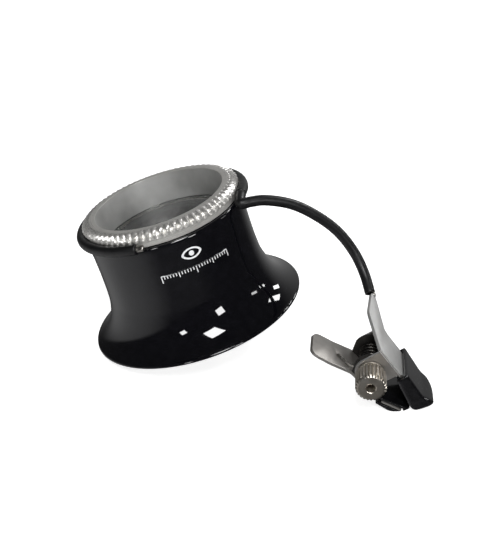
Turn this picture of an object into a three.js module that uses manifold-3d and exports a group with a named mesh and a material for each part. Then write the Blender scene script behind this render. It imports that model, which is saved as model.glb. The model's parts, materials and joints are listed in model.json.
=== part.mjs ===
// Watchmaker's eye loupe with a spectacle clip, lying on a table. Millimetres, +Z up.
// The loupe leans on the left edge of its eyecup, and the clip's jaw tips touch the table on the right.
import * as THREE from 'three';
import { mergeVertices } from 'three/addons/utils/BufferGeometryUtils.js';
import Module from 'manifold-3d';

const wasm = await Module();
wasm.setup();

const DEG = Math.PI / 180;

// Eyecup barrel: heights are along the loupe's axis from the plane of the eyecup's rim.
const RIM_RADIUS = 19;
const BARREL_RADIUS = 13.83;
const BARREL_LIP_RADIUS = 13.95;
const BARREL_HEIGHT = 19.55;
const BARREL_BORE = 12.7;
const BARREL_WAIST_BORE = 12.5;
const CELL_STOP_HEIGHT = 13.7;
const CELL_STOP_BORE = 11.9;
const BARREL_FACETS = 48;

// Knurled lens ring, with its sleeve inside the barrel.
const LOUPE_HEIGHT = 22.3;
const LENS_RING_BORE = 11.4;
const LENS_RING_FACE = 12.35;
const LENS_RING_RADIUS = 14.0;
const NECK_RADIUS = 13.45;
const NECK_TOP = 20.35;
const SLEEVE_RADIUS = 12.6;
const SLEEVE_BASE = 14.4;
const LENS_SEAT_RADIUS = 11.8;
const LENS_SEAT_HEIGHT = 16.9;
const TOOTH_COUNT = 72;

// Lens and the split ring that keeps it in the sleeve.
const LENS_RADIUS = 11.7;
const LENS_EDGE_BASE = 15.2;
const LENS_EDGE_TOP = 16.8;
const LENS_BULGE = 1.0;
const LENS_FACETS = 48;
const SNAP_RING_INNER = 10.8;

// Pose of the loupe and of the clip on the table.
const TILT = -16.8 * DEG;
const RIM_CENTRE = new THREE.Vector3(0, 0, 5.4);
const CLIP_CORNER = new THREE.Vector3(29.2, -24.2, 10.75);
const CLIP_SLOPE = 51.4 * DEG;
const CLIP_TURN = -6.1 * DEG;

// Spring wire: an open ring round the neck of the lens ring, then the arm to the clip.
const WIRE_RADIUS = 0.45;
const SLEEVE_BORE = 0.65;
const SLEEVE_OUTER = 0.9;
const RING_RADIUS = 14.5;
const RING_HEIGHT = 20.08;
const RING_FREE_END = 98;
const RING_ARM_END = 374;
const ARM_ROUTE = [
  [7.7, -5.8, 28.1],
  [9.3, -5.4, 28.25],
  [11.5, -4.7, 28.25],
  [16.1, -3.6, 27.1],
  [20.3, -2.7, 24.7],
  [24.3, -2.2, 21.4],
  [27.4, -2.6, 17.4],
  [29.0, -4.4, 14.4],
  [29.8, -7.2, 12.1],
];

// Clip: x runs to the jaw tips, y backwards along the pivot, z out of the bracket's wall.
const SHEET = 0.5;
const CLIP_WIDTH = 8;
const PIVOT = new THREE.Vector2(2.45, -3.2);
const STUD_RADIUS = 0.62;
const PIVOT_BORE = 0.7;
const STUD_TIP = -4.2;
const STUD_HEAD_RADIUS = 1.9;
const STUD_HEAD_LENGTH = 0.9;
const LEVER_FRONT = 0.6;
const LEVER_BACK = 7.4;
const EAR_RADIUS = 2.5;
const LEVER_EAR_RADIUS = 2.8;
const WASHER_RADIUS = 2.2;
const NUT_RADIUS = 2.45;
const NUT_LENGTH = 4;
const NUT_BACK = -0.6;
const NUT_RIBS = 26;
const COIL_RADIUS = 1.6;
const COIL_WIRE = 0.24;
const COIL_TURNS = 5;
const COIL_FRONT = 1.6;
const COIL_BACK = 6.5;

const LOOKS = {
  black_plastic: { color: 0x101012, roughness: 0.12, metalness: 0 },
  aluminium: { color: 0xc9c8c4, roughness: 0.35, metalness: 1 },
  glass: { color: 0xdfe6e8, roughness: 0.03, metalness: 0 },
  vinyl: { color: 0x16161a, roughness: 0.45, metalness: 0 },
  spring_steel: { color: 0x9a958c, roughness: 0.3, metalness: 1 },
  stainless: { color: 0xb9b8b5, roughness: 0.38, metalness: 1 },
  nickel: { color: 0xb3aca0, roughness: 0.32, metalness: 1 },
};

// ---- helpers ----

function solid(geometry) {
  const bare = geometry.index ? geometry.toNonIndexed() : geometry.clone();
  bare.deleteAttribute('normal');
  bare.deleteAttribute('uv');
  const merged = mergeVertices(bare, 1e-4);
  return new wasm.Manifold(new wasm.Mesh({
    numProp: 3,
    vertProperties: merged.attributes.position.array,
    triVerts: new Uint32Array(merged.index.array),
  }));
}

function geometryOf(manifold) {
  const { vertProperties, triVerts } = manifold.getMesh();
  const geometry = new THREE.BufferGeometry();
  geometry.setAttribute('position', new THREE.BufferAttribute(new Float32Array(vertProperties), 3));
  geometry.setIndex(new THREE.BufferAttribute(new Uint32Array(triVerts), 1));
  geometry.computeVertexNormals();
  return geometry;
}

function joined(geometries) {
  return geometries.map(solid).reduce((sum, next) => sum.add(next));
}

function piece(name, geometry, look) {
  const mesh = new THREE.Mesh(geometry, new THREE.MeshStandardMaterial(LOOKS[look]));
  mesh.name = name;
  return mesh;
}

// A closed outline of [radius, height] pairs turned about +Z.
function turned(outline, facets) {
  const points = outline.map(([r, z]) => new THREE.Vector2(r, z));
  if (outline[0][0] > 0) points.push(points[0].clone());
  return new THREE.LatheGeometry(points, facets).rotateX(Math.PI / 2);
}

// A flat shape drawn in the clip's x-z plane, as thick as the stretch of y that it fills.
function acrossClip(shape, front, back) {
  const options = { depth: back - front, bevelEnabled: false, curveSegments: 10 };
  return new THREE.ExtrudeGeometry(shape, options).rotateX(Math.PI / 2).translate(0, back, 0);
}

// A flat shape drawn in the clip's x-y plane, from one height to another.
function onClip(shape, low, high) {
  const options = { depth: high - low, bevelEnabled: false, curveSegments: 5 };
  return new THREE.ExtrudeGeometry(shape, options).translate(0, 0, low);
}

// A strip of sheet bent along a line of [x, z] points, with mitred corners.
function bentSheet(line, thickness) {
  const points = line.map(([x, z]) => new THREE.Vector2(x, z));
  const side = (sign) => points.map((point, i) => {
    const before = point.clone().sub(points[Math.max(i - 1, 0)]).normalize();
    const after = points[Math.min(i + 1, points.length - 1)].clone().sub(point).normalize();
    const along = before.add(after).normalize();
    return new THREE.Vector2(-along.y, along.x).multiplyScalar(sign * thickness / 2).add(point);
  });
  return new THREE.Shape([...side(1), ...side(-1).reverse()]);
}

function roundedBox(x0, y0, x1, y1, startRadius, endRadius) {
  const shape = new THREE.Shape();
  shape.moveTo(x0 + startRadius, y0);
  shape.lineTo(x1 - endRadius, y0);
  shape.absarc(x1 - endRadius, y0 + endRadius, endRadius, -Math.PI / 2, 0);
  shape.absarc(x1 - endRadius, y1 - endRadius, endRadius, 0, Math.PI / 2);
  shape.lineTo(x0 + startRadius, y1);
  shape.absarc(x0 + startRadius, y1 - startRadius, startRadius, Math.PI / 2, Math.PI);
  shape.absarc(x0 + startRadius, y0 + startRadius, startRadius, Math.PI, Math.PI * 1.5);
  return shape;
}

// A turned piece on the clip's pivot axis; its outline's heights become the clip's y.
function onPivot(outline, facets) {
  return turned(outline, facets).rotateX(-Math.PI / 2).translate(PIVOT.x, 0, PIVOT.y);
}

function pivotHole(front, back) {
  return onPivot([[0, front], [PIVOT_BORE, front], [PIVOT_BORE, back], [0, back]], 24);
}

// Part of a longer curve, between two shares of its length.
class Stretch extends THREE.Curve {
  constructor(whole, start, end) {
    super();
    Object.assign(this, { whole, start, end });
  }

  getPoint(t, target = new THREE.Vector3()) {
    return this.whole.getPointAt(this.start + t * (this.end - this.start), target);
  }
}

function ringShape(outer, sides, inner) {
  const corners = (radius) => Array.from({ length: sides }, (_, i) => {
    const turn = (i + 0.5) * 2 * Math.PI / sides;
    return new THREE.Vector2(radius * Math.cos(turn), radius * Math.sin(turn));
  });
  const shape = new THREE.Shape(corners(outer));
  if (inner) shape.holes.push(new THREE.Path(corners(inner)));
  return shape;
}

function swept(shape, path, steps) {
  return new THREE.ExtrudeGeometry(shape, { extrudePath: path, steps, bevelEnabled: false });
}

// ---- loupe ----

function eyecupBarrel() {
  const outer = new THREE.Path();
  outer.moveTo(17.5, 0);
  outer.lineTo(18.7, 0);
  outer.quadraticCurveTo(RIM_RADIUS + 0.05, 0, RIM_RADIUS - 0.25, 0.45);
  outer.bezierCurveTo(16.3, 1.7, 14.9, 3.4, 14.1, 7.4);
  outer.quadraticCurveTo(BARREL_RADIUS, 9.5, BARREL_RADIUS, 13.5);
  outer.quadraticCurveTo(BARREL_RADIUS, 16.5, BARREL_LIP_RADIUS, 18.5);
  outer.quadraticCurveTo(BARREL_LIP_RADIUS, 19.45, NECK_RADIUS + 0.05, BARREL_HEIGHT);
  outer.lineTo(BARREL_BORE, BARREL_HEIGHT);
  outer.lineTo(BARREL_BORE, CELL_STOP_HEIGHT);
  outer.lineTo(CELL_STOP_BORE, CELL_STOP_HEIGHT);
  outer.lineTo(CELL_STOP_BORE, CELL_STOP_HEIGHT - 0.8);
  outer.lineTo(BARREL_WAIST_BORE, CELL_STOP_HEIGHT - 1.5);
  outer.lineTo(BARREL_WAIST_BORE, 8.2);
  outer.bezierCurveTo(BARREL_WAIST_BORE, 6, 13, 4.2, 14.5, 2.9);
  outer.quadraticCurveTo(16.3, 1.5, 17.3, 0.3);
  return turned(outer.getPoints(4).map(({ x, y }) => [x, y]), BARREL_FACETS);
}

// The ring's outline through a tooth's crest or, with its grooved corner cut back, through a valley.
function lensRingOutline(corner, edge) {
  return [
    [LENS_RING_BORE, LOUPE_HEIGHT], [LENS_RING_BORE, LENS_SEAT_HEIGHT],
    [LENS_SEAT_RADIUS, LENS_SEAT_HEIGHT], [LENS_SEAT_RADIUS, SLEEVE_BASE],
    [SLEEVE_RADIUS, SLEEVE_BASE], [SLEEVE_RADIUS, BARREL_HEIGHT + 0.1],
    [NECK_RADIUS, BARREL_HEIGHT + 0.1], [NECK_RADIUS, NECK_TOP],
    edge, corner, [LENS_RING_FACE, LOUPE_HEIGHT],
  ];
}

function lensRing() {
  const crest = lensRingOutline([LENS_RING_RADIUS - 0.25, 21.85], [LENS_RING_RADIUS, 21.2]);
  const valley = lensRingOutline([LENS_RING_RADIUS - 0.85, 21.6], [LENS_RING_RADIUS - 0.24, 20.85]);
  const ring = turned(crest, 2 * TOOTH_COUNT);
  const cut = turned(valley, 2 * TOOTH_COUNT).attributes.position;
  const column = crest.length + 1;
  for (let i = 1; i < 2 * TOOTH_COUNT; i += 2) {
    for (let j = i * column; j < (i + 1) * column; j += 1) {
      ring.attributes.position.setXYZ(j, cut.getX(j), cut.getY(j), cut.getZ(j));
    }
  }
  return ring;
}

function lens() {
  const outline = new THREE.Path();
  outline.moveTo(0, LENS_EDGE_BASE - LENS_BULGE);
  outline.quadraticCurveTo(LENS_RADIUS / 2, LENS_EDGE_BASE - LENS_BULGE, LENS_RADIUS, LENS_EDGE_BASE);
  outline.lineTo(LENS_RADIUS, LENS_EDGE_TOP);
  outline.quadraticCurveTo(LENS_RADIUS / 2, LENS_EDGE_TOP + LENS_BULGE, 0, LENS_EDGE_TOP + LENS_BULGE);
  return turned(outline.getPoints(4).map(({ x, y }) => [x, y]), LENS_FACETS);
}

function lensRetainingRing() {
  const low = SLEEVE_BASE + 0.05;
  const high = low + 0.4;
  return turned([
    [SNAP_RING_INNER, low], [LENS_RADIUS, low], [LENS_RADIUS, high], [SNAP_RING_INNER, high],
  ], LENS_FACETS);
}

function makeLoupe() {
  const loupe = new THREE.Group();
  loupe.position.copy(RIM_CENTRE);
  loupe.rotation.y = TILT;
  loupe.add(
    piece('eyecup_barrel', eyecupBarrel(), 'black_plastic'),
    piece('lens_ring', lensRing(), 'aluminium'),
    piece('lens', lens(), 'glass'),
    piece('lens_retaining_ring', lensRetainingRing(), 'spring_steel'),
  );
  return loupe;
}

// ---- wire ring and arm ----

// A point of the wire ring; the angle is measured from the arm's side towards the front.
function ringPoint(degrees) {
  const turn = degrees * DEG;
  const point = new THREE.Vector3(RING_RADIUS * Math.cos(turn), -RING_RADIUS * Math.sin(turn), RING_HEIGHT);
  return point.applyAxisAngle(new THREE.Vector3(0, 1, 0), TILT).add(RIM_CENTRE);
}

function wirePath() {
  const points = [];
  for (let angle = RING_FREE_END; angle <= RING_ARM_END; angle += 12) points.push(ringPoint(angle));
  ARM_ROUTE.forEach((point) => points.push(new THREE.Vector3(...point)));
  const path = new THREE.CatmullRomCurve3(points);
  path.arcLengthDivisions = 800;
  return path;
}

function makeWire() {
  const path = wirePath();
  const bend = 0.668;
  const sleeve = ringShape(SLEEVE_OUTER, 8, SLEEVE_BORE);
  const wire = new THREE.Group();
  wire.add(
    piece('spring_wire', swept(ringShape(WIRE_RADIUS, 6), new Stretch(path, 0, 0.985), 96), 'spring_steel'),
    piece('ring_sleeve', swept(sleeve, new Stretch(path, 0.012, bend), 30), 'vinyl'),
    piece('arm_sleeve', swept(sleeve, new Stretch(path, bend + 0.002, 1), 40), 'vinyl'),
  );
  return wire;
}

// ---- clip ----

function clipBracket() {
  const plate = new THREE.Shape();
  plate.moveTo(0.1, 0);
  plate.lineTo(5.7, 0);
  plate.lineTo(5.7, 7.9);
  plate.lineTo(2.8, CLIP_WIDTH);
  plate.quadraticCurveTo(1.5, CLIP_WIDTH, 1.15, 8.9);
  plate.lineTo(-0.75, 15.2);
  plate.lineTo(-1.5, 16.9);
  plate.lineTo(-2.3, 15.4);
  plate.lineTo(-3, 9);
  plate.quadraticCurveTo(-3.1, 7.8, -2.7, 6.9);
  const ear = new THREE.Shape();
  ear.moveTo(0.2, 0.1);
  ear.absarc(PIVOT.x, PIVOT.y, EAR_RADIUS, Math.PI, 0);
  ear.lineTo(5.3, 0.1);
  const jaw = bentSheet([[5.2, SHEET / 2], [7, SHEET / 2], [12, -0.6]], SHEET - 0.02);
  const body = joined([
    onClip(plate, 0, SHEET),
    acrossClip(ear, 0, SHEET),
    acrossClip(ear, CLIP_WIDTH - SHEET, CLIP_WIDTH),
    acrossClip(jaw, 0.5, 7.6),
  ]);
  return geometryOf(body.subtract(solid(pivotHole(-1, 9))));
}

// A vinyl jaw cover: an outline seen from above and a side view, hollowed round the sheet inside it.
function jawCover(outline, side, sheet, front, back) {
  const block = solid(onClip(outline, -8, 3)).intersect(solid(acrossClip(side, -2, 10)));
  return geometryOf(block.subtract(solid(acrossClip(sheet, front, back))));
}

function fixedJawSleeve() {
  const side = new THREE.Shape();
  side.moveTo(5.9, 1.05);
  side.lineTo(5.9, -0.75);
  side.lineTo(11.4, -1.85);
  side.quadraticCurveTo(12.3, -1.95, 12.7, -1.2);
  side.lineTo(13.7, 0);
  side.quadraticCurveTo(14.3, 0.9, 13.4, 1.3);
  side.quadraticCurveTo(12.2, 1.5, 10.4, 0.9);
  const sheet = bentSheet([[5, SHEET / 2], [7, SHEET / 2], [12.25, -0.643]], SHEET + 0.14);
  return jawCover(roundedBox(4, -0.4, 14.1, 8.7, 0.2, 4), side, sheet, 0.35, 7.9);
}

function leverPlate() {
  const line = [[-5.4, -9], [-2.2, -7.65], [1, -5.95], [6.6, -5.35], [7.4, -4.95], [10.9, -3.15]];
  const ear = new THREE.Shape();
  ear.moveTo(0.9, -5.8);
  ear.lineTo(5.4, -5.35);
  ear.absarc(PIVOT.x, PIVOT.y, LEVER_EAR_RADIUS, -25 * DEG, 200 * DEG);
  const body = joined([
    acrossClip(bentSheet(line, SHEET - 0.05), LEVER_FRONT, LEVER_BACK),
    acrossClip(ear, LEVER_FRONT, LEVER_FRONT + SHEET),
    acrossClip(ear, LEVER_BACK - SHEET, LEVER_BACK),
  ]);
  const corners = roundedBox(-5.6, LEVER_FRONT - 0.1, 12, LEVER_BACK + 0.1, 1.3, 0.3);
  const slot = roundedBox(-1.9, -0.75, 1.9, 0.75, 0.7, 0.7);
  const cut = onClip(slot, -9, -5).rotateZ(135 * DEG).translate(-0.1, 2.7, 0);
  const trimmed = body.intersect(solid(onClip(corners, -10, 0)));
  return geometryOf(trimmed.subtract(solid(pivotHole(-1, 9))).subtract(solid(cut)));
}

function movingJawSleeve() {
  const side = new THREE.Shape();
  side.moveTo(7.35, -5.8);
  side.lineTo(9.5, -5);
  side.quadraticCurveTo(10.2, -4.6, 10.6, -4);
  side.lineTo(11.6, -2.75);
  side.quadraticCurveTo(12, -2.15, 11.5, -2.05);
  side.lineTo(10.4, -2.55);
  side.lineTo(7.1, -4.35);
  const sheet = bentSheet([[6.9, -5.2], [7.4, -4.95], [11.15, -3.02]], SHEET + 0.08);
  return jawCover(roundedBox(6, -0.4, 12, 8.1, 0.2, 2.2), side, sheet, -1, 7.65);
}

function pivotStud() {
  const head = CLIP_WIDTH + 0.1;
  return onPivot([
    [0, STUD_TIP], [STUD_RADIUS, STUD_TIP], [STUD_RADIUS, head], [STUD_HEAD_RADIUS, head],
    [STUD_HEAD_RADIUS, head + 0.5], [1.3, head + STUD_HEAD_LENGTH], [0, head + STUD_HEAD_LENGTH],
  ], 24);
}

function nutWasher() {
  return onPivot([
    [PIVOT_BORE, NUT_BACK + 0.1], [WASHER_RADIUS, NUT_BACK + 0.1],
    [WASHER_RADIUS, -0.1], [PIVOT_BORE, -0.1],
  ], 24);
}

function knurledNut() {
  const rim = Array.from({ length: 2 * NUT_RIBS }, (_, i) => {
    const radius = NUT_RADIUS - (i % 2) * 0.16;
    const turn = i * Math.PI / NUT_RIBS;
    return new THREE.Vector2(PIVOT.x + radius * Math.cos(turn), PIVOT.y + radius * Math.sin(turn));
  });
  const front = NUT_BACK - NUT_LENGTH;
  const blank = onPivot([
    [0, front], [NUT_RADIUS - 0.45, front], [NUT_RADIUS, front + 0.35],
    [NUT_RADIUS, NUT_BACK - 0.3], [NUT_RADIUS - 0.35, NUT_BACK], [0, NUT_BACK],
  ], 26);
  const ribbed = solid(acrossClip(new THREE.Shape(rim), front, NUT_BACK));
  return geometryOf(ribbed.intersect(solid(blank)).subtract(solid(pivotHole(front - 1, NUT_BACK + 1))));
}

function torsionSpring() {
  const points = [new THREE.Vector3(-1.15, 4.25, -6.55), new THREE.Vector3(0.9, 2.4, -5.5)];
  for (let i = 0; i <= COIL_TURNS * 12; i += 1) {
    const share = i / (COIL_TURNS * 12);
    const turn = -Math.PI / 2 + share * COIL_TURNS * 2 * Math.PI;
    points.push(new THREE.Vector3(
      PIVOT.x + COIL_RADIUS * Math.cos(turn),
      COIL_FRONT + share * (COIL_BACK - COIL_FRONT),
      PIVOT.y + COIL_RADIUS * Math.sin(turn),
    ));
  }
  points.push(new THREE.Vector3(4.2, COIL_BACK + 0.05, -2.9), new THREE.Vector3(5.1, COIL_BACK + 0.05, -0.45));
  const path = new THREE.CatmullRomCurve3(points);
  path.arcLengthDivisions = 800;
  return swept(ringShape(COIL_WIRE, 6), path, 68);
}

function makeClip() {
  const clip = new THREE.Group();
  clip.position.copy(CLIP_CORNER);
  clip.rotation.set(0, CLIP_SLOPE, CLIP_TURN, 'ZYX');
  clip.add(
    piece('clip_bracket', clipBracket(), 'stainless'),
    piece('fixed_jaw_sleeve', fixedJawSleeve(), 'vinyl'),
    piece('lever_plate', leverPlate(), 'stainless'),
    piece('moving_jaw_sleeve', movingJawSleeve(), 'vinyl'),
    piece('pivot_stud', pivotStud(), 'nickel'),
    piece('nut_washer', nutWasher(), 'nickel'),
    piece('knurled_nut', knurledNut(), 'nickel'),
    piece('torsion_spring', torsionSpring(), 'spring_steel'),
  );
  return clip;
}

// ---- whole object, with its origin at the middle of its box's base ----

const group = new THREE.Group();
group.add(makeLoupe(), makeWire(), makeClip());
group.updateMatrixWorld(true);
const box = new THREE.Box3().setFromObject(group, true);
const middle = box.getCenter(new THREE.Vector3());
group.position.set(-middle.x, -middle.y, -box.min.z);
group.updateMatrixWorld(true);

export default group;
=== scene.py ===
"""Looks of the watchmaker's eye loupe with a spectacle clip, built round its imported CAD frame."""
import json
import math

import bmesh
import bpy
import numpy as np
from mathutils import Matrix, Vector


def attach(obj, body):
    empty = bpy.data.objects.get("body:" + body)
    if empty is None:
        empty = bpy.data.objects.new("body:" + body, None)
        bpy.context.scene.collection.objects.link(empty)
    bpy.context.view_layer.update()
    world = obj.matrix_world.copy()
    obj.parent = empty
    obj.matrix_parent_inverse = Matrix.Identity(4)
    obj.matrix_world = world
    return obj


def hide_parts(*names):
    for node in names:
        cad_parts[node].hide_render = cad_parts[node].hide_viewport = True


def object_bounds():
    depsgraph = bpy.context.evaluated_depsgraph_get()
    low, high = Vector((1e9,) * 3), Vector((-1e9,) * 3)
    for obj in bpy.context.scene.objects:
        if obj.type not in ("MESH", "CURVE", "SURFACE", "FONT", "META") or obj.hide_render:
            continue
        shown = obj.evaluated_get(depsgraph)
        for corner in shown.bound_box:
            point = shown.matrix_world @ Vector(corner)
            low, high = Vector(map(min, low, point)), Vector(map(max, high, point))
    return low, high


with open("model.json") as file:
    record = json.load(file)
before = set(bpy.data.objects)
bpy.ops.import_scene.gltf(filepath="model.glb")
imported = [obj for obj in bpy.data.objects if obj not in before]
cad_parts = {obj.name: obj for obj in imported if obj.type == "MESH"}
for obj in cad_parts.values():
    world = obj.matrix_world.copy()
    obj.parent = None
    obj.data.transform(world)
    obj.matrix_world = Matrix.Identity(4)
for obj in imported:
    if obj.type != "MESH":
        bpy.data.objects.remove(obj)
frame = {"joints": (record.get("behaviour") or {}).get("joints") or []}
cad_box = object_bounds()

MM = 0.001
JOINTS = {joint["name"]: joint for joint in frame["joints"]}

# Loupe, in mm along and across its axis from the middle of the eyecup's rim.
RING_HEIGHT = 20.08
RING_RADIUS = 14.5
BARREL_RADIUS = 13.83
TOOTH_COUNT = 72
WIRE_RADIUS = 0.45
SLEEVE_BORE = 0.55
SLEEVE_OUTER = 0.9
FREE_END, ARM_END, RING_STEP = 98, 374, 12
ARM_ROUTE = [
    (7.7, -5.8, 22.7), (9.3, -5.4, 22.85), (11.5, -4.7, 22.85), (16.1, -3.6, 21.7), (20.3, -2.7, 19.3),
    (24.3, -2.2, 16.0), (27.4, -2.6, 12.0), (29.0, -4.4, 9.0), (29.8, -7.2, 6.7),
]

# Clip, in mm: x to the jaw tips, y along the pivot, z out of the bracket's wall.
CLIP_SLOPE = math.radians(51.4)
CLIP_TURN = math.radians(-6.1)
PIVOT = (2.45, -3.2)
SHEET = 0.5
STUD_BORE = 0.7
STRIP_TIP = (-1.5, 16.9)

# The printed mark: its turn in degrees and its heights on the barrel, and half its line's length, in mm.
MARK_ANGLE = 70
MARK_HEIGHT = 14.2
EYE_HEIGHT = MARK_HEIGHT + 2.3
SCALE_HALF = 6
SCALE_STEPS = 24

# The camera: its place in mm from the middle of the rim, and its lens in mm.
CAMERA_OFFSET = (7.65, -158.2, 86.69)
CAMERA_TILT = math.radians(63)
CAMERA_LENS = 64.9

# The studio, in metres: how far off the lights are, and half the floor's width.
PANEL_DISTANCE = 1.2
FLOOR_HALF = 3.0
FLOOR_GLOW = 0.8


# ---- places ----

def loupe_place():
    """The loupe's own frame: z is its axis, and the origin is the middle of the rim."""
    joint = JOINTS["ring_swivel"]
    z = Vector(joint["axis"]).normalized()
    y = Vector((0, 1, 0))
    x = y.cross(z)
    origin = Vector(joint["pos_m"]) - z * RING_HEIGHT * MM
    return Matrix.Translation(origin) @ Matrix((x, y, z)).transposed().to_4x4()


def clip_place():
    turn = Matrix.Rotation(CLIP_TURN, 3, "Z") @ Matrix.Rotation(CLIP_SLOPE, 3, "Y")
    pivot = Vector((PIVOT[0], 0, PIVOT[1])) * MM
    origin = Vector(JOINTS["jaw_pivot"]["pos_m"]) - turn @ pivot
    return Matrix.Translation(origin) @ turn.to_4x4()


LOUPE = loupe_place()
CLIP = clip_place()
RIM = LOUPE.translation.copy()


# ---- outlines ----

def bezier(a, b, c, d, steps):
    t = np.linspace(0, 1, steps + 1)[1:, None]
    a, b, c, d = (np.array(p, float) for p in (a, b, c, d))
    return [tuple(p) for p in (1 - t) ** 3 * a + 3 * t * (1 - t) ** 2 * b + 3 * t * t * (1 - t) * c + t ** 3 * d]


def quadratic(a, b, c, steps):
    t = np.linspace(0, 1, steps + 1)[1:, None]
    a, b, c = (np.array(p, float) for p in (a, b, c))
    return [tuple(p) for p in (1 - t) ** 2 * a + 2 * t * (1 - t) * b + t * t * c]


def rounded(points, radius, steps=5, closed=True):
    """A polygon with each corner rounded; a point may carry its own radius as a third number."""
    count = len(points)
    out = []
    for i, point in enumerate(points):
        here = np.array(point[:2], float)
        size = point[2] if len(point) > 2 else radius
        if size <= 0 or (not closed and i in (0, count - 1)):
            out.append(tuple(here))
            continue
        back = np.array(points[i - 1][:2], float) - here
        ahead = np.array(points[(i + 1) % count][:2], float) - here
        lengths = np.linalg.norm(back), np.linalg.norm(ahead)
        back, ahead = back / lengths[0], ahead / lengths[1]
        half = math.acos(max(-1.0, min(1.0, float(back @ ahead)))) / 2
        if half > math.radians(89):
            out.append(tuple(here))
            continue
        reach = min(size / math.tan(half), 0.49 * min(lengths))
        out.append(tuple(here + back * reach))
        out += quadratic(here + back * reach, here, here + ahead * reach, steps)
    return out


def sheet_outline(line, thickness, bend):
    """Both sides of a bent strip of sheet whose middle follows a line."""
    points = np.array(rounded(line, bend, 6, closed=False))
    along = np.gradient(points, axis=0)
    along /= np.linalg.norm(along, axis=1)[:, None]
    side = np.stack([-along[:, 1], along[:, 0]], 1) * thickness / 2
    return [tuple(p) for p in points + side] + [tuple(p) for p in (points - side)[::-1]]


def rounded_box(x0, y0, x1, y1, start, end):
    corners = [(x0, y0, start), (x1, y0, end), (x1, y1, end), (x0, y1, start)]
    return rounded(corners, 0, 8)


# ---- meshes ----

def raw_object(name, verts, faces):
    mesh = bpy.data.meshes.new(name)
    mesh.from_pydata([tuple(np.array(v, float) * MM) for v in verts], [], faces)
    work = bmesh.new()
    work.from_mesh(mesh)
    bmesh.ops.remove_doubles(work, verts=work.verts, dist=2e-7)
    bmesh.ops.dissolve_degenerate(work, edges=work.edges, dist=1e-7)
    bmesh.ops.recalc_face_normals(work, faces=work.faces)
    work.to_mesh(mesh)
    work.free()
    made = bpy.data.objects.new(name, mesh)
    bpy.context.scene.collection.objects.link(made)
    return made


def settle(made):
    """Applies the modifiers of an object."""
    graph = bpy.context.evaluated_depsgraph_get()
    graph.update()
    mesh = bpy.data.meshes.new_from_object(made.evaluated_get(graph))
    made.modifiers.clear()
    made.data = mesh
    return made


def combined(base, operation, others):
    for other in others:
        change = base.modifiers.new("combine", "BOOLEAN")
        change.operation = operation
        change.solver = "EXACT"
        change.object = other
    settle(base)
    for other in others:
        bpy.data.objects.remove(other)
    return base


def bevelled(made, width):
    bevel = made.modifiers.new("bevel", "BEVEL")
    bevel.width = width * MM
    bevel.segments = 2
    bevel.limit_method = "ANGLE"
    bevel.angle_limit = math.radians(35)
    bevel.use_clamp_overlap = True
    return settle(made)


def softened(made, voxel, rounds):
    """Remeshes a solid and lets its edges flow, as dipped vinyl does."""
    remesh = made.modifiers.new("remesh", "REMESH")
    remesh.mode = "VOXEL"
    remesh.voxel_size = voxel * MM
    smooth = made.modifiers.new("smooth", "SMOOTH")
    smooth.factor = 0.5
    smooth.iterations = rounds
    return settle(made)


def finished(made, place, material, body, nodes=(), sharp=32, all_smooth=False):
    for polygon in made.data.polygons:
        polygon.use_smooth = True
    if not all_smooth:
        made.data.set_sharp_from_angle(angle=math.radians(sharp))
    made.data.materials.clear()
    made.data.materials.append(material)
    made.matrix_world = place
    if nodes:
        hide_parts(*nodes)
    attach(made, body)
    return made


def painted(made, material, chosen):
    """Gives one more material to the faces that chosen(polygon) picks."""
    made.data.materials.append(material)
    for polygon in made.data.polygons:
        if chosen(polygon):
            polygon.material_index = len(made.data.materials) - 1


def revolved(name, outline, segments, ripple=None):
    """A closed outline of (radius, height) turned round z; ripple(step, i, r, z) may move a point of it."""
    verts = []
    for s in range(segments):
        turn = 2 * math.pi * s / segments
        for i, (r, z) in enumerate(outline):
            if ripple:
                r, z = ripple(s, i, r, z)
            verts.append((r * math.cos(turn), r * math.sin(turn), z))
    count = len(outline)
    faces = []
    for s in range(segments):
        t = (s + 1) % segments
        for i in range(count):
            j = (i + 1) % count
            if outline[i][0] < 1e-9 and outline[j][0] < 1e-9:
                continue
            faces.append((s * count + i, s * count + j, t * count + j, t * count + i))
    return raw_object(name, verts, faces)


def extruded(name, outline, low, high, plane):
    """An outline made solid: plane "xy" runs from height to height, "xz" across the clip."""
    if plane == "xy":
        rings = [[(x, y, level) for x, y in outline] for level in (low, high)]
    else:
        rings = [[(x, level, z) for x, z in outline] for level in (low, high)]
    count = len(outline)
    faces = [tuple(range(count)), tuple(range(2 * count - 1, count - 1, -1))]
    faces += [(i, (i + 1) % count, count + (i + 1) % count, count + i) for i in range(count)]
    return raw_object(name, rings[0] + rings[1], faces)


def on_pivot(made):
    """Stands a revolved piece on the clip's pivot: its heights become the clip's y."""
    made.data.transform(Matrix.Rotation(math.radians(-90), 4, "X"))
    made.data.transform(Matrix.Translation(Vector((PIVOT[0], 0, PIVOT[1])) * MM))
    return made


def pin(radius, front, back):
    return on_pivot(revolved("pin", [(0, front), (radius, front), (radius, back), (0, back)], segments=48))


# ---- curves ----

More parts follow.
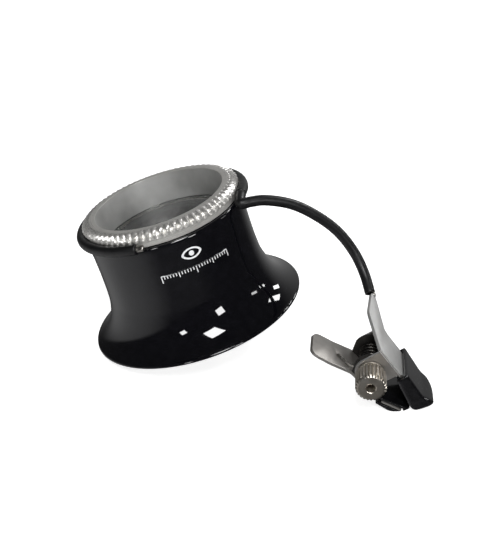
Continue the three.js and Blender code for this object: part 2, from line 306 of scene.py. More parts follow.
def smooth_route(points, steps):
    """A centripetal Catmull-Rom curve through points, sampled evenly along its length."""
    points = [np.array(p, float) for p in points]
    points = [2 * points[0] - points[1]] + points + [2 * points[-1] - points[-2]]
    dense = []
    for p0, p1, p2, p3 in zip(points, points[1:], points[2:], points[3:]):
        d = [np.linalg.norm(b - a) ** 0.5 for a, b in ((p0, p1), (p1, p2), (p2, p3))]
        t1 = (p1 - p0) / d[0] - (p2 - p0) / (d[0] + d[1]) + (p2 - p1) / d[1]
        t2 = (p2 - p1) / d[1] - (p3 - p1) / (d[1] + d[2]) + (p3 - p2) / d[2]
        t1, t2 = t1 * d[1], t2 * d[1]
        for s in np.linspace(0, 1, 40, endpoint=False):
            dense.append((2 * s ** 3 - 3 * s * s + 1) * p1 + (s ** 3 - 2 * s * s + s) * t1
                         + (3 * s * s - 2 * s ** 3) * p2 + (s ** 3 - s * s) * t2)
    dense.append(points[-2])
    dense = np.array(dense)
    reach = np.r_[0, np.cumsum(np.linalg.norm(np.diff(dense, axis=0), axis=1))]
    at = np.linspace(0, reach[-1], steps + 1)
    return np.stack([np.interp(at, reach, dense[:, k]) for k in range(3)], 1)


def stretch(route, start, end):
    last = len(route) - 1
    return route[int(round(start * last)):int(round(end * last)) + 1]


def tube(name, route, sides, radius, bore=0.0, lip=0.0, flat=None):
    """A tube along a route, open through its bore, with rounded lips at both ends."""
    route = np.asarray(route)
    along = np.gradient(route, axis=0)
    along /= np.linalg.norm(along, axis=1)[:, None]
    reach = np.r_[0, np.cumsum(np.linalg.norm(np.diff(route, axis=0), axis=1))]
    normal = np.cross(along[0], (0.3, 0.5, 0.8))
    frames = []
    for direction in along:
        normal = normal - direction * (normal @ direction)
        normal /= np.linalg.norm(normal)
        frames.append((normal.copy(), np.cross(direction, normal)))

    def ring(i, size, squeeze=(1, 1)):
        turns = np.linspace(0, 2 * math.pi, sides, endpoint=False)
        a, b = frames[i]
        return [tuple(route[i] + size * (squeeze[0] * math.cos(t) * a + squeeze[1] * math.sin(t) * b)) for t in turns]

    rings = []
    for i in range(len(route)):
        inward = min(reach[i], reach[-1] - reach[i])
        size = radius
        if lip and inward < lip:
            size = radius - lip + math.sqrt(max(lip * lip - (lip - inward) ** 2, 0))
        rings.append(ring(i, size, flat(reach[i]) if flat else (1, 1)))
    if bore:
        rings += [ring(i, bore) for i in reversed(range(len(route)))]
    verts = [v for r in rings for v in r]
    faces = []
    count = len(rings)
    for i in range(count if bore else count - 1):
        j = (i + 1) % count
        for k in range(sides):
            m = (k + 1) % sides
            faces.append((i * sides + k, i * sides + m, j * sides + m, j * sides + k))
    if not bore:
        faces.append(tuple(range(sides)))
        faces.append(tuple((count - 1) * sides + k for k in range(sides)))
    return raw_object(name, verts, faces)


# ---- materials ----

class Shader:
    """A node material on the Principled shader, with a few short ways to add detail."""

    def __init__(self, name, color, metallic, roughness, **sockets):
        self.material = bpy.data.materials.new(name)
        self.material.use_nodes = True
        self.tree = self.material.node_tree
        self.surface = self.tree.nodes["Principled BSDF"]
        self.surface.inputs["Base Color"].default_value = (*color, 1)
        self.surface.inputs["Metallic"].default_value = metallic
        self.surface.inputs["Roughness"].default_value = roughness
        for key, value in sockets.items():
            self.surface.inputs[key.replace("_", " ")].default_value = value
        self.place = self.tree.nodes.new("ShaderNodeTexCoord").outputs["Object"]
        self.normal = None

    def link(self, a, b):
        self.tree.links.new(a, b)

    def math(self, operation, *values):
        node = self.tree.nodes.new("ShaderNodeMath")
        node.operation = operation
        for socket, value in zip(node.inputs, values):
            if isinstance(value, (int, float)):
                socket.default_value = value
            else:
                self.link(value, socket)
        return node.outputs[0]

    def scaled(self, x, y, z):
        node = self.tree.nodes.new("ShaderNodeMapping")
        node.inputs["Scale"].default_value = (x, y, z)
        self.link(self.place, node.inputs["Vector"])
        return node.outputs[0]

    def turned(self, across, along, centre=(0, 0), around=0.0, axis="Z"):
        """Coordinates that change with the distance from an axis and the height along it."""
        split = self.tree.nodes.new("ShaderNodeSeparateXYZ")
        self.link(self.place, split.inputs[0])
        first, second, height = {"Z": (0, 1, 2), "Y": (0, 2, 1)}[axis]
        u = self.math("SUBTRACT", split.outputs[first], centre[0] * MM)
        v = self.math("SUBTRACT", split.outputs[second], centre[1] * MM)
        radius = self.math("SQRT", self.math("ADD", self.math("MULTIPLY", u, u), self.math("MULTIPLY", v, v)))
        angle = self.math("ARCTAN2", v, u)
        join = self.tree.nodes.new("ShaderNodeCombineXYZ")
        self.link(self.math("MULTIPLY", radius, across), join.inputs[0])
        self.link(self.math("MULTIPLY", split.outputs[height], along), join.inputs[1])
        self.link(self.math("MULTIPLY", angle, around), join.inputs[2])
        return join.outputs[0]

    def noise(self, vector, scale, detail=4.0, roughness=0.55):
        node = self.tree.nodes.new("ShaderNodeTexNoise")
        node.inputs["Scale"].default_value = scale
        node.inputs["Detail"].default_value = detail
        node.inputs["Roughness"].default_value = roughness
        self.link(vector, node.inputs["Vector"])
        return node.outputs[0]

    def between(self, value, low, high, start=0.3, end=0.7):
        node = self.tree.nodes.new("ShaderNodeMapRange")
        node.inputs["From Min"].default_value = start
        node.inputs["From Max"].default_value = end
        node.inputs["To Min"].default_value = low
        node.inputs["To Max"].default_value = high
        self.link(value, node.inputs["Value"])
        return node.outputs[0]

    def roughness(self, value, low, high, start=0.3, end=0.7):
        self.link(self.between(value, low, high, start, end), self.surface.inputs["Roughness"])
        return self

    def colours(self, value, *stops):
        ramp = self.tree.nodes.new("ShaderNodeValToRGB")
        elements = ramp.color_ramp.elements
        while len(elements) < len(stops):
            elements.new(0.5)
        for element, (position, color) in zip(elements, stops):
            element.position = position
            element.color = (*color, 1)
        self.link(value, ramp.inputs[0])
        self.link(ramp.outputs[0], self.surface.inputs["Base Color"])
        return self

    def bump(self, value, height, strength=1.0):
        """height is in mm."""
        node = self.tree.nodes.new("ShaderNodeBump")
        node.inputs["Strength"].default_value = strength
        node.inputs["Distance"].default_value = height * MM
        self.link(value, node.inputs["Height"])
        if self.normal:
            self.link(self.normal, node.inputs["Normal"])
        self.normal = node.outputs[0]
        self.link(self.normal, self.surface.inputs["Normal"])
        return self


def gloss_black():
    look = Shader("gloss_black_plastic", (0.003, 0.003, 0.0045), 0, 0.04, Specular_IOR_Level=0.68)
    smears = look.noise(look.scaled(1, 1, 1), 120, 6, 0.6)
    look.roughness(smears, 0.02, 0.075, 0.4, 0.8)
    look.colours(look.noise(look.place, 900, 5), (0.3, (0.0015, 0.0015, 0.0025)), (0.75, (0.004, 0.004, 0.0055)))
    look.bump(look.noise(look.place, 260, 2), 0.006, 0.4)
    return look.bump(look.noise(look.place, 5000, 3), 0.0006, 0.5).material


def turned_aluminium():
    look = Shader("turned_aluminium", (0.56, 0.55, 0.525), 0.5, 0.36)
    rings = look.noise(look.turned(9000, 9000, around=0.6), 1.0, 3, 0.6)
    cloud = look.noise(look.place, 260, 4)
    look.colours(cloud, (0.25, (0.47, 0.46, 0.435)), (0.55, (0.56, 0.55, 0.525)), (0.85, (0.64, 0.63, 0.61)))
    look.roughness(rings, 0.24, 0.42)
    return look.bump(rings, 0.004, 0.6).material


def cut_aluminium():
    look = Shader("cut_aluminium", (0.7, 0.69, 0.66), 0.72, 0.32)
    marks = look.noise(look.turned(6000, 9000, around=40), 1.0, 3)
    look.colours(look.noise(look.place, 700, 4), (0.25, (0.55, 0.54, 0.515)), (0.7, (0.74, 0.73, 0.71)))
    look.roughness(marks, 0.22, 0.38)
    return look.bump(marks, 0.004, 0.6).material


def satin_aluminium():
    """The bore: finely blasted, so it scatters softly."""
    look = Shader("satin_aluminium", (0.6, 0.6, 0.585), 0.7, 0.46)
    grain = look.noise(look.place, 4200, 3)
    cloud = look.noise(look.place, 150, 4, 0.6)
    look.colours(cloud, (0.25, (0.38, 0.38, 0.37)), (0.5, (0.48, 0.48, 0.47)), (0.8, (0.58, 0.58, 0.57)))
    look.roughness(cloud, 0.42, 0.56)
    return look.bump(grain, 0.003, 0.4).material


def brushed_steel(name, low, high, direction, dull=0.0):
    look = Shader(name, high, 0.8, 0.3 + dull)
    streaks = look.noise(look.scaled(*direction), 1.0, 5, 0.65)
    cloud = look.noise(look.place, 330, 5, 0.6)
    look.colours(look.math("ADD", look.math("MULTIPLY", streaks, 0.5), look.math("MULTIPLY", cloud, 0.5)),
                 (0.3, low), (0.7, high))
    look.roughness(streaks, 0.24 + dull, 0.42 + dull)
    look.bump(streaks, 0.003, 0.5)
    return look.bump(cloud, 0.02, 0.25).material


def turned_nickel():
    look = Shader("turned_nickel", (0.6, 0.56, 0.5), 1, 0.28)
    rings = look.noise(look.turned(7000, 7000, PIVOT, 0.8, "Y"), 1.0, 3)
    cloud = look.noise(look.place, 500, 5)
    look.colours(cloud, (0.25, (0.4, 0.365, 0.315)), (0.55, (0.58, 0.54, 0.48)), (0.8, (0.7, 0.67, 0.62)))
    look.roughness(rings, 0.28, 0.42)
    return look.bump(rings, 0.002, 0.4).material


def drawn_wire(name, shade):
    look = Shader(name, (0.5 * shade, 0.48 * shade, 0.45 * shade), 1, 0.28)
    marks = look.noise(look.place, 2600, 4)
    dark, light = ((c * shade for c in stop) for stop in ((0.34, 0.32, 0.29), (0.6, 0.58, 0.55)))
    look.colours(look.noise(look.place, 900, 4), (0.3, tuple(dark)), (0.7, tuple(light)))
    look.roughness(marks, 0.2, 0.4)
    return look.bump(marks, 0.003, 0.5).material


def sleeve_vinyl():
    look = Shader("sleeve_vinyl", (0.012, 0.012, 0.013), 0, 0.4)
    skin = look.noise(look.place, 1900, 4)
    look.colours(look.noise(look.place, 350, 4), (0.3, (0.003, 0.003, 0.0035)), (0.75, (0.008, 0.008, 0.009)))
    look.roughness(skin, 0.3, 0.5)
    look.bump(look.noise(look.place, 420, 2), 0.03, 0.35)
    return look.bump(skin, 0.004, 0.5).material


def dipped_vinyl():
    look = Shader("dipped_vinyl", (0.009, 0.009, 0.01), 0, 0.2, Coat_Weight=0.25, Coat_Roughness=0.1)
    flow = look.noise(look.place, 420, 3)
    look.colours(look.noise(look.place, 900, 4), (0.3, (0.002, 0.002, 0.0026)), (0.75, (0.006, 0.006, 0.007)))
    look.roughness(flow, 0.07, 0.18)
    look.bump(flow, 0.05, 0.4)
    return look.bump(look.noise(look.place, 3200, 3), 0.002, 0.4).material


def optical_glass():
    look = Shader("optical_glass", (0.97, 0.985, 0.98), 0, 0.02, Transmission_Weight=1.0, IOR=1.52)
    film = look.noise(look.place, 180, 5, 0.6)
    look.roughness(film, 0.0, 0.07, 0.45, 0.8)
    return look.bump(look.noise(look.place, 700, 3), 0.0005, 0.3).material


def printed_ink():
    look = Shader("printed_ink", (0.7, 0.71, 0.72), 0, 0.45)
    grain = look.noise(look.place, 3800, 4)
    look.colours(grain, (0.28, (0.42, 0.43, 0.45)), (0.45, (0.7, 0.71, 0.72)), (0.8, (0.82, 0.83, 0.84)))
    look.roughness(grain, 0.35, 0.6)
    return look.bump(grain, 0.002, 0.4).material


BLACK = gloss_black()
TURNED = turned_aluminium()
CUT = cut_aluminium()
SATIN = satin_aluminium()
STRIP = brushed_steel("brushed_stainless", (0.66, 0.66, 0.65), (0.8, 0.8, 0.79), (16000, 700, 16000), 0.14)
LEVER = brushed_steel("rolled_stainless", (0.26, 0.245, 0.23), (0.4, 0.385, 0.365), (900, 12000, 900), 0.1)
# Painted shade: a darkened copy of the lever's brushed steel, for the lever's ears where they sit in shadow.
SHADED = brushed_steel("painted_shade_steel", (0.025, 0.024, 0.023), (0.06, 0.057, 0.053), (900, 12000, 900), 0.12)
NICKEL = turned_nickel()
WIRE = drawn_wire("drawn_spring_steel", 1.0)
# Painted shade: a darkened copy of the spring wire, for the coil that sits in shadow behind the ears; the leg keeps
# the lit wire.
COIL = drawn_wire("painted_shade_spring_steel", 0.13)
SLEEVE = sleeve_vinyl()
DIPPED = dipped_vinyl()
GLASS = optical_glass()
INK = printed_ink()


# ---- loupe ----

def barrel_outline():
    outline = [(17.42, 0.12), (17.6, 0.0), (18.6, 0.0)]
    outline += quadratic((18.6, 0), (19.08, 0), (18.93, 0.32), 8)
    outline += quadratic((18.93, 0.32), (18.86, 0.52), (18.55, 0.58), 5)
    outline += bezier((18.55, 0.58), (16.3, 1.75), (14.9, 3.4), (14.1, 7.4), 44)
    outline += quadratic((14.1, 7.4), (13.83, 9.5), (13.83, 13.5), 10)
    outline += quadratic((13.83, 13.5), (13.83, 16.5), (13.95, 18.3), 8)
    outline += bezier((13.95, 18.3), (14.0, 19.1), (13.95, 19.5), (13.5, 19.55), 12)
    outline += [(13.3, 19.56), (12.8, 19.56), (12.7, 19.47), (12.7, 13.75), (12.65, 13.7), (11.95, 13.7)]
    outline += [(11.9, 13.64), (11.9, 12.95), (11.96, 12.86), (12.45, 12.25), (12.5, 12.1), (12.5, 8.2)]
    outline += bezier((12.5, 8.2), (12.5, 6), (13, 4.2), (14.5, 2.9), 20)
    outline += quadratic((14.5, 2.9), (16.3, 1.5), (17.3, 0.3), 16)
    return outline


WALL = sorted((z, r) for r, z in barrel_outline() if r > 13.5 and 7 < z < 19)
WALL_HEIGHTS, WALL_RADII = zip(*WALL)


def make_barrel():
    made = revolved("barrel_shell", barrel_outline(), 224)
    finished(made, LOUPE, BLACK, "barrel", ["eyecup_barrel"], sharp=50)


def make_lens_ring():
    """The knurled flange has V grooves that are cut deepest at its lower edge."""
    outline = [
        (11.4, 22.2), (11.4, 16.95), (11.45, 16.9), (11.78, 16.9), (11.8, 16.86), (11.8, 14.42),
        (12.58, 14.42), (12.6, 19.6), (12.66, 19.66), (13.4, 19.66), (13.45, 19.72), (13.45, 20.3),
        (13.5, 20.42), (13.62, 20.62), (13.76, 20.84), (13.9, 21.04), (13.99, 21.18), (14.02, 21.3), (13.99, 21.5),
        (13.9, 21.7), (13.72, 21.88), (13.45, 22.02), (13.15, 22.14), (12.85, 22.22), (12.6, 22.27), (12.45, 22.3),
        (12.3, 22.31), (11.9, 22.31), (11.5, 22.31), (11.42, 22.27),
    ]
    first, last = 14, 25
    steps = 10

    def ripple(s, i, r, z):
        """A groove's floor runs straight from the top face down to the neck."""
        if not first <= i <= last:
            return r, z
        phase = (s % steps) / steps
        valley = min(max((1 - abs(2 * phase - 1)) * 1.12 - 0.06, 0), 1)
        share = (i - first) / (last - first)
        floor_r, floor_z = 13.68 - 1.22 * share, 20.72 + 1.57 * share ** 0.8
        return r + (floor_r - r) * valley, z + (floor_z - z) * valley

    made = revolved("lens_ring_knurled", outline, TOOTH_COUNT * steps, ripple)
    finished(made, LOUPE, TURNED, "lens_ring", ["lens_ring"], sharp=24)

    def far(polygon):
        return math.hypot(polygon.center.x, polygon.center.y) / MM

    painted(made, CUT, lambda polygon: far(polygon) > 12.48 and polygon.center.z / MM > 20.9)
    painted(made, SATIN, lambda polygon: far(polygon) < 11.9 and polygon.center.z / MM < 22.2)


def make_lens():
    low = [(0, 14.2)] + quadratic((0, 14.2), (5.85, 14.2), (11.6, 15.18), 26)
    edge = [(11.7, 15.28), (11.7, 16.72), (11.6, 16.82)]
    high = quadratic((11.6, 16.82), (5.85, 17.8), (0, 17.8), 26)
    made = revolved("lens_polished", low + edge + high, 128)
    finished(made, LOUPE, GLASS, "lens_cell", ["lens"], sharp=60)


def make_retaining_ring():
    """A snap ring of round-edged wire, with its gap left narrow."""
    outline = rounded([(10.8, 14.45), (11.7, 14.45), (11.7, 14.85), (10.8, 14.85)], 0.12, 4)
    made = revolved("lens_snap_ring", outline, 128)
    cut = extruded("gap", [(10, -0.6), (12.2, -0.6), (12.2, 0.6), (10, 0.6)], 14.2, 15.1, "xy")
    cut.data.transform(Matrix.Rotation(math.radians(150), 4, "Z"))
    combined(made, "DIFFERENCE", [cut])
    finished(made, LOUPE, WIRE, "lens_cell", ["lens_retaining_ring"], sharp=40)


# ---- printed mark: an eye and a graduated line, with no letters ----

def printed(name, outline, inner=None):
    """Lays a flat outline (mm along and up the barrel) on the barrel's wall as a thin film."""
    count = len(outline)
    loops = [outline] if inner is None else [outline, inner]
    verts = []
    for lift in (-0.03, 0.022):
        for loop in loops:
            for along, up in loop:
                turn = -along / BARREL_RADIUS
                radius = np.interp(up, WALL_HEIGHTS, WALL_RADII) + lift
                verts.append((radius * math.cos(turn), radius * math.sin(turn), up))
    layer = count * len(loops)
    faces = []
    if inner is None:
        faces += [tuple(range(count)), tuple(range(layer, layer + count))]
    for loop in range(len(loops)):
        for i in range(count):
            a, b = loop * count + i, loop * count + (i + 1) % count
            faces.append((a, b, b + layer, a + layer))
    if inner is not None:
        for shift in (0, layer):
            for i in range(count):
                j = (i + 1) % count
                faces.append((shift + i, shift + j, shift + count + j, shift + count + i))
    made = raw_object(name, verts, faces)
    return finished(made, LOUPE, INK, "barrel", (), sharp=60)


def shifted(points, along, up):
    return [(along + x, up + y) for x, y in points]


def make_mark():
    middle = math.radians(MARK_ANGLE) * BARREL_RADIUS
    base = MARK_HEIGHT - 0.15
    turns = np.linspace(0, 2 * math.pi, 48, endpoint=False)

    def lid(width, tall):
        return [(width * math.cos(t), tall * math.sin(t) * abs(math.sin(t)) ** 0.35) for t in turns]

    printed("mark_eye_lids", shifted(lid(1.75, 1.0), middle, EYE_HEIGHT), shifted(lid(1.35, 0.72), middle, EYE_HEIGHT))
    iris = [(0.44 * math.cos(t), 0.44 * math.sin(t)) for t in turns]
    printed("mark_eye_iris", shifted(iris, middle, EYE_HEIGHT))
    pieces = 40
    left, right = middle - SCALE_HALF, middle + SCALE_HALF
    printed("mark_scale_line", [(left + 2 * SCALE_HALF * k / pieces, base) for k in range(pieces + 1)]
            + [(right - 2 * SCALE_HALF * k / pieces, MARK_HEIGHT + 0.02) for k in range(pieces + 1)])
    half = 0.075
    for k in range(SCALE_STEPS + 1):
        tall = 1.15 if k % 12 == 0 else 0.85 if k % 6 == 0 else 0.5
        place = left + 2 * SCALE_HALF * k / SCALE_STEPS
        printed(f"mark_tick_{k:02d}", [(place - half, base - tall), (place + half, base - tall),
                                       (place + half, MARK_HEIGHT - 0.12), (place - half, MARK_HEIGHT - 0.12)])


# ---- wire ring and arm ----

def wire_route():
    points = []
    for angle in range(FREE_END, ARM_END + 1, RING_STEP):
        turn = math.radians(angle)
        local = Vector((RING_RADIUS * math.cos(turn), -RING_RADIUS * math.sin(turn), RING_HEIGHT)) * MM
        points.append(np.array(LOUPE @ local) / MM)
    rim = np.array(RIM) / MM
    points += [rim + np.array(p) for p in ARM_ROUTE]
    return smooth_route(points, 1000)


def make_wire():
    route = wire_route()
    world = Matrix.Identity(4)

    def hammered(reach):
        share = min(max((1.7 - reach) / 0.7, 0), 1)
        return 1 - 0.15 * share, 1 + 0.25 * share

    # The wire comes out of the sleeve and is fastened to the tip of the clip's strip.
    x, y = STRIP_TIP
    fastened = [np.array(CLIP @ (Vector(p) * MM)) / MM for p in ((x, y, SHEET / 2), (x, y - 1, SHEET / 2))]
    core = smooth_route([*stretch(route, 0, 0.97)[::10], *fastened], 1000)
    wire = tube("wire_core", core, 20, WIRE_RADIUS, lip=0.12, flat=hammered)
    finished(wire, world, WIRE, "clip_arm", ["spring_wire"], sharp=50)
    ring = tube("ring_sleeving", stretch(route, 0.012, 0.668), 28, SLEEVE_OUTER, SLEEVE_BORE, 0.16)
    finished(ring, world, SLEEVE, "clip_arm", ["ring_sleeve"], sharp=60)
    arm = tube("arm_sleeving", stretch(route, 0.67, 1), 28, SLEEVE_OUTER, SLEEVE_BORE, 0.12)
    finished(arm, world, SLEEVE, "clip_arm", ["arm_sleeve"], sharp=60)


# ---- clip ----

def ear_outline(centre, radius, foot_left, foot_right, foot_level, start, end):
    turns = np.radians(np.linspace(start, end, 40))
    arc = [(centre[0] + radius * math.cos(t), centre[1] + radius * math.sin(t)) for t in turns]
    return [(foot_left, foot_level)] + arc + [(foot_right, foot_level)]


def make_bracket():
    plate = [(0.1, 0), (5.7, 0), (5.7, 7.9), (2.8, 8.0)]
    plate += quadratic((2.8, 8), (1.5, 8), (1.15, 8.9), 8)
    strip = [(1.15, 8.9), (-0.75, 15.2, 1.2), (*STRIP_TIP, 0.25), (-2.3, 15.4, 0.8), (-3, 9)]
    plate += rounded(strip, 0, 6, closed=False)[1:]
    plate += quadratic((-3, 9), (-3.1, 7.8), (-2.7, 6.9), 6)
    body = extruded("bracket_plate", plate, 0.0, SHEET, "xy")
    ear = ear_outline(PIVOT, 2.5, 0.2, 5.3, 0.1, 180, 360)
    front = extruded("front_ear", ear, 0.0, SHEET, "xz")
    rear = extruded("rear_ear", ear, 8 - SHEET, 8.0, "xz")
    line = [(5.2, SHEET / 2), (7, SHEET / 2), (12, -0.6)]
    tongue = extruded("tongue", sheet_outline(line, SHEET - 0.02, 1.0), 0.5, 7.6, "xz")
    combined(body, "UNION", [front, rear, tongue])
    combined(body, "DIFFERENCE", [pin(STUD_BORE, -1, 9)])
    work = bmesh.new()
    work.from_mesh(body.data)
    fold = [e for e in work.edges
            if all(abs(v.co.z / MM - SHEET) < 1e-3 and abs(v.co.y / MM) < 1e-3 for v in e.verts)]
    bmesh.ops.bevel(work, geom=fold, offset=0.34 * MM, segments=6, affect="EDGES", clamp_overlap=True)
    work.to_mesh(body.data)
    work.free()
    body.name = "bracket_pressed"
    bevelled(body, 0.05)
    finished(body, CLIP, STRIP, "clip_arm", ["clip_bracket"], sharp=28)
    # Painted shade: the bracket's faces that face the front, low on the sheet, take the darker lever steel so that
    # side looks darker.
    painted(body, LEVER, lambda polygon: polygon.normal.y < -0.7 and polygon.center.z < SHEET * MM * 0.5)


def make_fixed_jaw():
    side = [(5.9, 1.3), (5.9, -0.75), (11.4, -1.85)]
    side += quadratic((11.4, -1.85), (12.3, -1.95), (12.7, -1.2), 6) + [(13.7, 0)]
    side += quadratic((13.7, 0), (14.45, 0.9), (13.5, 1.4), 8)
    side += quadratic((13.5, 1.4), (12.5, 1.7), (10.9, 1.0), 8)
    plan = [(5.7, -0.4, 0.1), (10.8, -0.4), (12.6, 0.15), (13.8, 1.5), (14.2, 3.2), (13.9, 4.9), (13.1, 6.4)]
    plan += [(12.2, 7.4), (11.0, 8.0), (9.4, 8.2), (7.6, 8.4), (5.7, 8.8, 0.1)]
    block = extruded("jaw_block", side, -2, 10, "xz")
    outline = extruded("jaw_plan", rounded(plan, 0.9, 6), -8, 3, "xy")
    sheet = sheet_outline([(5, SHEET / 2), (7, SHEET / 2), (12.25, -0.643)], SHEET + 0.2, 1.0)
    slot = extruded("jaw_slot", sheet, 0.3, 7.95, "xz")
    combined(block, "INTERSECT", [outline])
    combined(block, "DIFFERENCE", [slot])
    block.name = "fixed_jaw_dip"
    softened(block, voxel=0.11, rounds=80)
    finished(block, CLIP, DIPPED, "clip_arm", ["fixed_jaw_sleeve"], all_smooth=True)


def make_lever():
    line = [(-6.1, -9.3), (-2.2, -7.65), (1, -5.95), (6.6, -5.35), (7.4, -4.95), (10.9, -3.15)]
    body = extruded("lever_sheet", sheet_outline(line, SHEET - 0.05, 1.6), 0.6, 7.4, "xz")
    tip = [(7.7, -4.8), (10.8, -3.2)]
    flush = extruded("lever_flush_edge", sheet_outline(tip, SHEET - 0.2, 0.2), -0.36, 1.4, "xz")
    ear = ear_outline(PIVOT, 2.8, 0.9, 5.4, -5.7, 200, -25)
    ears = [extruded("lever_ear", ear, front, front + SHEET, "xz") for front in (0.6, 7.4 - SHEET)]
    combined(body, "INTERSECT", [extruded("lever_plan", rounded_box(-5.55, 0.6, 12, 7.4, 1.6, 0.3), -10, 0, "xy")])
    combined(body, "UNION", ears + [flush])
    slot = extruded("lever_slot", rounded_box(-1.9, -0.36, 1.9, 0.36, 0.35, 0.35), -9, -5, "xy")
    slot.data.transform(Matrix.Translation(Vector((-0.1, 2.7, 0)) * MM) @ Matrix.Rotation(math.radians(135), 4, "Z"))
    combined(body, "DIFFERENCE", [pin(STUD_BORE, -1, 9), slot])
    body.name = "lever_pressed"
    bevelled(body, 0.05)
    finished(body, CLIP, LEVER, "jaw_lever", ["lever_plate"], sharp=28)
    # Painted shade: the lever's ears take the darkened steel in place of the shadow they sit in.
    painted(body, SHADED, lambda polygon: polygon.center.z > -5.2 * MM and polygon.center.x < 6 * MM)


def make_moving_jaw():
    side = [(7.35, -5.8), (9.5, -5)]
    side += quadratic((9.5, -5), (10.2, -4.6), (10.6, -4), 6) + [(11.6, -2.75)]
    side += quadratic((11.6, -2.75), (12.05, -2.15), (11.5, -2.02), 6) + [(10.4, -2.5), (7.1, -4.35)]
    block = extruded("jaw_block", side, -2, 10, "xz")
    outline = extruded("jaw_plan", rounded_box(6, -0.4, 12, 8.1, 0.2, 2.2), -8, 3, "xy")
    sheet = sheet_outline([(6.9, -5.2), (7.4, -4.95), (11.15, -3.02)], SHEET + 0.1, 0.3)
    combined(block, "INTERSECT", [outline])
    combined(block, "DIFFERENCE", [extruded("jaw_slot", sheet, -1, 7.7, "xz")])
    block.name = "moving_jaw_dip"
    softened(block, voxel=0.07, rounds=9)
    finished(block, CLIP, DIPPED, "jaw_lever", ["moving_jaw_sleeve"], all_smooth=True)


def make_stud():
    head = 8.1
    outline = rounded([(0, -2.2, 0), (0.62, -2.2, 0.12), (0.62, head, 0.05), (1.9, head, 0.08),
                       (1.9, head + 0.45, 0.25), (1.35, head + 0.85, 0.4), (0, head + 0.9, 0)], 0.1, 6)
    made = on_pivot(revolved("stud_turned", outline, 64))
    finished(made, CLIP, NICKEL, "clip_arm", ["pivot_stud"], sharp=40)


def make_washer():
    outline = rounded([(0.7, -0.5), (2.2, -0.5), (2.2, -0.1), (0.7, -0.1)], 0.08, 3)
    made = on_pivot(revolved("washer_pressed", outline, 64))
    finished(made, CLIP, NICKEL, "nut_washer", ["nut_washer"], sharp=40)


def make_nut():
    """Straight-knurled nut: rounded ribs between a chamfered face and a chamfered back."""
    ribs, steps = 26, 10
    bore = []
    for k in range(9):
        z = -1.1 - k * 0.4
        bore += [(0.67, z), (0.75, z - 0.2)]
    outline = [(0.72, -0.62)] + bore + [(0.78, -4.52), (0.88, -4.6), (1.2, -4.6), (1.6, -4.6)]
    outline += [(1.9, -4.6), (2.02, -4.58), (2.18, -4.44), (2.38, -4.24), (2.45, -4.12), (2.45, -3.2), (2.45, -2.2)]
    outline += [(2.45, -1.2), (2.42, -1.02), (2.2, -0.78), (2.1, -0.66), (1.98, -0.62)]
    first = 1 + len(bore) + 4

    def ripple(s, i, r, z):
        if i < first + 2:
            return r, z
        phase = (s % steps) / steps
        groove = max(0.0, math.cos(2 * math.pi * phase)) ** 0.8
        reach = min(1.0, max(0.0, (r - 2.12) / 0.25))
        return r - 0.3 * groove * reach, z

    made = on_pivot(revolved("nut_knurled", outline, ribs * steps, ripple))
    finished(made, CLIP, NICKEL, "knurled_nut", ["knurled_nut"], sharp=30)


def make_spring():
    """The coil and its short leg stay with the bracket. The long leg hooks the lever and goes with it."""
    radius, turns, front, back = 1.6, 5, 1.6, 6.5

    def coil_point(share):
        turn = -math.pi / 2 + share * turns * 2 * math.pi
        return (PIVOT[0] + radius * math.cos(turn), front + share * (back - front), PIVOT[1] + radius * math.sin(turn))

    points = [coil_point(k / (turns * 12)) for k in range(turns * 12 + 1)]
    points += [(4.2, back + 0.05, -2.9), (5.1, back + 0.05, -0.45)]
    coil = tube("torsion_coil", smooth_route(points, 400), 14, 0.24, lip=0.08)
    # The coil takes the darkened wire as painted shade.
    finished(coil, CLIP, COIL, "clip_arm", ["torsion_spring"], sharp=50)
    hook = [(0.3, 2.25, -7.2), (-0.5, 3.0, -7.5), (-1.15, 3.7, -7.7), (-1.4, 3.95, -7.3), (-1.3, 3.85, -6.85)]
    hook += [(-0.8, 3.35, -6.5), (0.3, 2.35, -5.95), (1.4, 1.75, -5.1)]
    arc = [coil_point(k / (turns * 24)) for k in range(5)]
    leg = tube("torsion_leg", smooth_route(hook + arc, 120), 14, 0.233, lip=0.08)
    finished(leg, CLIP, WIRE, "jaw_lever", (), sharp=50)


make_barrel()
make_lens_ring()
make_lens()
make_retaining_ring()
make_mark()
make_wire()
make_bracket()
make_fixed_jaw()
make_lever()
make_moving_jaw()
make_stud()
make_washer()
make_nut()
make_spring()


# ---- studio ----

def add_camera():
    data = bpy.data.cameras.new("camera")
    data.lens = CAMERA_LENS
    data.sensor_width = 36
    data.clip_start = 0.005
    camera = bpy.data.objects.new("camera", data)
    camera.location = RIM + Vector(CAMERA_OFFSET) * MM
    camera.rotation_euler = (CAMERA_TILT, 0, 0)
    bpy.context.scene.collection.objects.link(camera)
    bpy.context.scene.camera = camera


def add_floor():
    corners = [(FLOOR_HALF * x, FLOOR_HALF * y, 0) for x, y in ((-1, -1), (1, -1), (1, 1), (-1, 1))]
    mesh = bpy.data.meshes.new("floor")
    mesh.from_pydata(corners, [], [(0, 1, 2, 3)])
    floor = bpy.data.objects.new("floor", mesh)
    floor.location.z = cad_box[0].z
    bpy.context.scene.collection.objects.link(floor)
    look = Shader("pale_floor", (0.9, 0.9, 0.9), 0, 0.7, Emission_Strength=FLOOR_GLOW)
    look.surface.inputs["Emission Color"].default_value = (1, 1, 1, 1)
    look.colours(look.noise(look.place, 4), (0.2, (0.89, 0.89, 0.89)), (0.8, (0.91, 0.91, 0.91)))
    mesh.materials.append(look.material)
    floor.visible_glossy = False


def toward(azimuth, elevation):
    """A direction; azimuth 0 is +Y and 90 is +X, in degrees."""
    a, e = math.radians(azimuth), math.radians(elevation)
    return Vector((math.sin(a) * math.cos(e), math.cos(a) * math.cos(e), math.sin(e)))


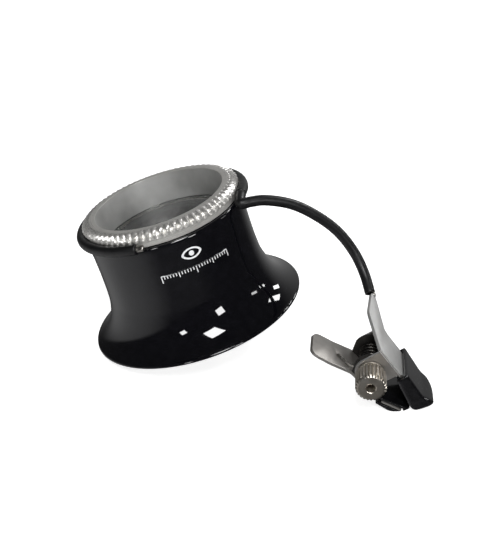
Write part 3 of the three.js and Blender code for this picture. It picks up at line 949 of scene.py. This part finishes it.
def add_panel(index, azimuth, elevation, wide, tall, radiance):
    """A soft light as seen from the object: its direction, its width and height in degrees, its brightness."""
    data = bpy.data.lights.new(f"panel_{index}", "AREA")
    data.shape = "RECTANGLE"
    data.size = 2 * PANEL_DISTANCE * math.tan(math.radians(wide / 2))
    data.size_y = 2 * PANEL_DISTANCE * math.tan(math.radians(tall / 2))
    data.energy = radiance * math.pi * data.size * data.size_y
    light = bpy.data.objects.new(f"panel_{index}", data)
    way = toward(azimuth, elevation)
    light.location = RIM + way * PANEL_DISTANCE
    light.rotation_euler = way.to_track_quat("Z", "Y").to_euler()
    light.visible_camera = False
    bpy.context.scene.collection.objects.link(light)


def add_world():
    world = bpy.data.worlds.new("studio")
    bpy.context.scene.world = world
    world.use_nodes = True
    tree = world.node_tree
    nodes, links = tree.nodes, tree.links
    nodes.clear()
    place = nodes.new("ShaderNodeTexCoord").outputs["Generated"]

    def math_node(operation, a, b):
        node = nodes.new("ShaderNodeMath")
        node.operation = operation
        for socket, value in zip(node.inputs, (a, b)):
            if isinstance(value, (int, float)):
                socket.default_value = value
            else:
                links.new(value, socket)
        return node.outputs[0]

    def ramp(value, start, end, gain):
        node = nodes.new("ShaderNodeMapRange")
        node.interpolation_type = "SMOOTHSTEP"
        node.inputs["From Min"].default_value = start
        node.inputs["From Max"].default_value = end
        node.inputs["To Max"].default_value = gain
        links.new(value, node.inputs["Value"])
        return node.outputs[0]

    split = nodes.new("ShaderNodeSeparateXYZ")
    links.new(place, split.inputs[0])
    below = ramp(math_node("MULTIPLY", split.outputs[2], -1.0), 0.0, 0.12, 1.0)
    total = math_node("ADD", BASE_GLOW, 0.0)
    for azimuth, elevation, spread, gain, low_only in GLOWS:
        dot = nodes.new("ShaderNodeVectorMath")
        dot.operation = "DOT_PRODUCT"
        dot.inputs[1].default_value = toward(azimuth, elevation)
        links.new(place, dot.inputs[0])
        glow = ramp(dot.outputs["Value"], math.cos(math.radians(spread)), 1.0, gain)
        if low_only:
            glow = math_node("MULTIPLY", glow, below)
        total = math_node("ADD", total, glow)
    room = nodes.new("ShaderNodeBackground")
    links.new(total, room.inputs["Strength"])
    white = nodes.new("ShaderNodeBackground")
    path = nodes.new("ShaderNodeLightPath")
    mix = nodes.new("ShaderNodeMixShader")
    links.new(path.outputs["Is Camera Ray"], mix.inputs[0])
    links.new(room.outputs[0], mix.inputs[1])
    links.new(white.outputs[0], mix.inputs[2])
    output = nodes.new("ShaderNodeOutputWorld")
    links.new(mix.outputs[0], output.inputs[0])


# The room's soft glows: azimuth, elevation, how far each spreads (degrees), how bright, and if only below eye level.
BASE_GLOW = 0.045
GLOWS = [
    (-95, -38, 66, 0.62, True),
    (8, 10, 48, 0.42, False),
    (172, -32, 50, 0.1, True),
]

# The lights: azimuth, elevation, width and height (degrees), brightness.
PANELS = [
    (178, 50, 15, 22, 18),
    (-157, 17, 7, 7, 16),
    (147, 20, 10, 9, 16),
    (54, 45, 17, 8, 15),
    (48, 28, 9, 6, 15),
    (71, 19.5, 9, 3, 12),
    (89, 23.5, 9, 3, 9),
]

add_camera()
add_floor()
add_world()
for index, panel in enumerate(PANELS):
    add_panel(index, *panel)
bpy.context.scene.view_settings.view_transform = "Standard"
